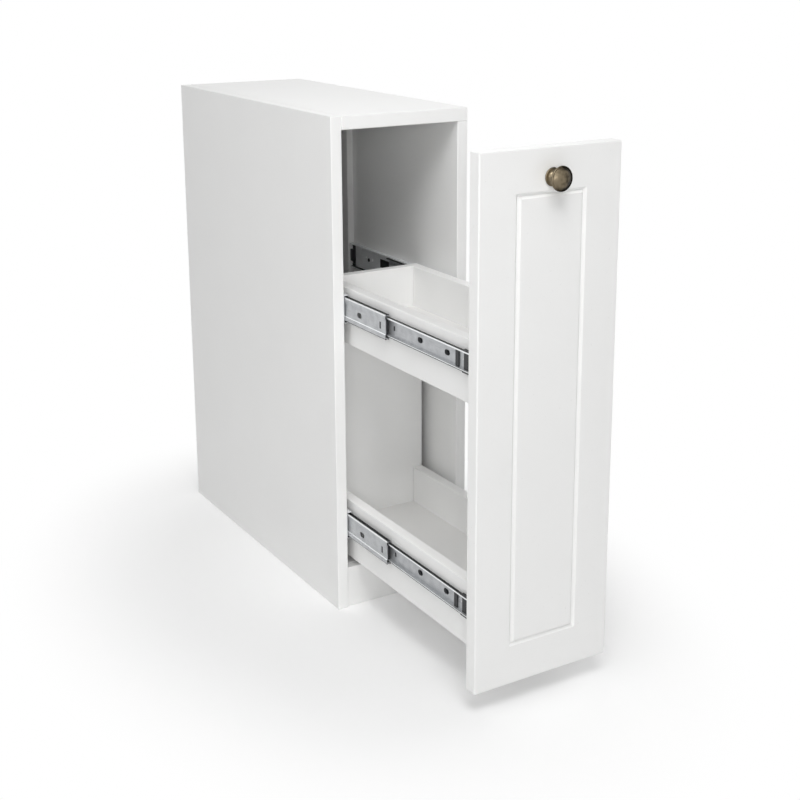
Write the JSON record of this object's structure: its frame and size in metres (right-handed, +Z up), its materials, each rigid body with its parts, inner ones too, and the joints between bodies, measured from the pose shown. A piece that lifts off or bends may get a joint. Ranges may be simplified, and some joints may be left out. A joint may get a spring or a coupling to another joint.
{
  "type": "kitchen base cabinet",
  "caption": "Narrow white kitchen base cabinet with a tall pull-out front that carries a drawer and a tray on telescopic slides.",
  "frame": {"origin": "on the floor, midway across the carcass, in the plane of its front edges (the floor mount is 4 mm behind that plane, on the foot of the kickboard)", "axes": "+X to the right as seen from the front, +Y back to the wall, +Z up; the pull-out travels along Y and stands open at rest"},
  "size_m": [0.25, 1.022, 0.82],
  "materials": {
    "white_melamine": "white melamine-faced board, satin",
    "white_panel": "white-faced thin board, matt",
    "white_drawer": "white melamine-faced drawer board, satin",
    "white_lacquer": "routed fibreboard with satin white lacquer",
    "zinc_steel": "rolled steel, bright zinc plated",
    "bright_steel": "bearing balls in a plated steel strip",
    "black_screws": "black zinc plated",
    "black_plastic": "moulded, matt",
    "aged_brass": "antique brass, brushed and darkened",
    "clear_rubber": "soft translucent pad",
    "beech": "fluted beech dowel"
  },
  "bodies": {
    "cabinet": {"side_left": "white_melamine", "side_right": "white_melamine", "top_panel": "white_melamine", "bottom_panel": "white_melamine", "back_panel": "white_panel", "rear_rail": "white_melamine", "kickboard": "white_melamine", "guide_batten_left": "white_melamine", "guide_batten_right": "white_melamine", "batten_screws": "zinc_steel", "carcass_cams": "zinc_steel", "carcass_cam_bolts": "zinc_steel", "carcass_dowels": "beech", "carcass_rail_screws": "black_screws", "rail_rear_bumpers": "black_plastic", "upper_left_carcass_rail": "zinc_steel", "upper_right_carcass_rail": "zinc_steel", "lower_left_carcass_rail": "zinc_steel", "lower_right_carcass_rail": "zinc_steel"},
    "pull_out": {"front": "white_lacquer", "knob": "aged_brass", "knob_screw": "zinc_steel", "front_bumpers": "clear_rubber", "pullout_back": "white_drawer", "upper_side_left": "white_drawer", "upper_side_right": "white_drawer", "upper_floor": "white_panel", "lower_side_left": "white_drawer", "lower_side_right": "white_drawer", "lower_floor": "white_panel", "drawer_rail_caps": "black_plastic", "drawer_rail_screws": "black_screws", "drawer_cams": "zinc_steel", "drawer_cam_bolts": "zinc_steel", "drawer_dowels": "beech", "back_screws": "zinc_steel", "upper_left_drawer_rail": "zinc_steel", "upper_right_drawer_rail": "zinc_steel", "lower_left_drawer_rail": "zinc_steel", "lower_right_drawer_rail": "zinc_steel"},
    "upper_left_middle": {"upper_left_middle_rail": "zinc_steel", "upper_left_front_stop": "black_plastic"},
    "upper_left_outer_cage": {"upper_left_outer_balls": "bright_steel"},
    "upper_left_inner_cage": {"upper_left_inner_balls": "bright_steel"},
    "upper_right_middle": {"upper_right_middle_rail": "zinc_steel", "upper_right_front_stop": "black_plastic"},
    "upper_right_outer_cage": {"upper_right_outer_balls": "bright_steel"},
    "upper_right_inner_cage": {"upper_right_inner_balls": "bright_steel"},
    "lower_left_middle": {"lower_left_middle_rail": "zinc_steel", "lower_left_front_stop": "black_plastic"},
    "lower_left_outer_cage": {"lower_left_outer_balls": "bright_steel"},
    "lower_left_inner_cage": {"lower_left_inner_balls": "bright_steel"},
    "lower_right_middle": {"lower_right_middle_rail": "zinc_steel", "lower_right_front_stop": "black_plastic"},
    "lower_right_outer_cage": {"lower_right_outer_balls": "bright_steel"},
    "lower_right_inner_cage": {"lower_right_inner_balls": "bright_steel"}
  },
  "joints": [
    {"name": "pull_out_slide", "type": "slide", "parent": "cabinet", "child": "pull_out", "axis": [0, -1, 0], "range_m": [-0.3715, 0.0095]},
    {"name": "upper_left_middle_slide", "type": "slide", "parent": "cabinet", "child": "upper_left_middle", "axis": [0, -1, 0], "range_m": [-0.1264, 0.0033]},
    {"name": "upper_left_outer_cage_roll", "type": "slide", "parent": "cabinet", "child": "upper_left_outer_cage", "axis": [0, -1, 0], "range_m": [-0.0633, 0.0017]},
    {"name": "upper_left_inner_cage_roll", "type": "slide", "parent": "cabinet", "child": "upper_left_inner_cage", "axis": [0, -1, 0], "range_m": [-0.249, 0.0065]},
    {"name": "upper_right_middle_slide", "type": "slide", "parent": "cabinet", "child": "upper_right_middle", "axis": [0, -1, 0], "range_m": [-0.1264, 0.0033]},
    {"name": "upper_right_outer_cage_roll", "type": "slide", "parent": "cabinet", "child": "upper_right_outer_cage", "axis": [0, -1, 0], "range_m": [-0.0633, 0.0017]},
    {"name": "upper_right_inner_cage_roll", "type": "slide", "parent": "cabinet", "child": "upper_right_inner_cage", "axis": [0, -1, 0], "range_m": [-0.249, 0.0065]},
    {"name": "lower_left_middle_slide", "type": "slide", "parent": "cabinet", "child": "lower_left_middle", "axis": [0, -1, 0], "range_m": [-0.1264, 0.0033]},
    {"name": "lower_left_outer_cage_roll", "type": "slide", "parent": "cabinet", "child": "lower_left_outer_cage", "axis": [0, -1, 0], "range_m": [-0.0633, 0.0017]},
    {"name": "lower_left_inner_cage_roll", "type": "slide", "parent": "cabinet", "child": "lower_left_inner_cage", "axis": [0, -1, 0], "range_m": [-0.249, 0.0065]},
    {"name": "lower_right_middle_slide", "type": "slide", "parent": "cabinet", "child": "lower_right_middle", "axis": [0, -1, 0], "range_m": [-0.1264, 0.0033]},
    {"name": "lower_right_outer_cage_roll", "type": "slide", "parent": "cabinet", "child": "lower_right_outer_cage", "axis": [0, -1, 0], "range_m": [-0.0633, 0.0017]},
    {"name": "lower_right_inner_cage_roll", "type": "slide", "parent": "cabinet", "child": "lower_right_inner_cage", "axis": [0, -1, 0], "range_m": [-0.249, 0.0065]}
  ],
  "couplings": [
    {"joint": "upper_left_middle_slide", "follows": "pull_out_slide", "ratio": 0.34},
    {"joint": "upper_left_outer_cage_roll", "follows": "pull_out_slide", "ratio": 0.17},
    {"joint": "upper_left_inner_cage_roll", "follows": "pull_out_slide", "ratio": 0.67},
    {"joint": "upper_right_middle_slide", "follows": "pull_out_slide", "ratio": 0.34},
    {"joint": "upper_right_outer_cage_roll", "follows": "pull_out_slide", "ratio": 0.17},
    {"joint": "upper_right_inner_cage_roll", "follows": "pull_out_slide", "ratio": 0.67},
    {"joint": "lower_left_middle_slide", "follows": "pull_out_slide", "ratio": 0.34},
    {"joint": "lower_left_outer_cage_roll", "follows": "pull_out_slide", "ratio": 0.17},
    {"joint": "lower_left_inner_cage_roll", "follows": "pull_out_slide", "ratio": 0.67},
    {"joint": "lower_right_middle_slide", "follows": "pull_out_slide", "ratio": 0.34},
    {"joint": "lower_right_outer_cage_roll", "follows": "pull_out_slide", "ratio": 0.17},
    {"joint": "lower_right_inner_cage_roll", "follows": "pull_out_slide", "ratio": 0.67}
  ]
}
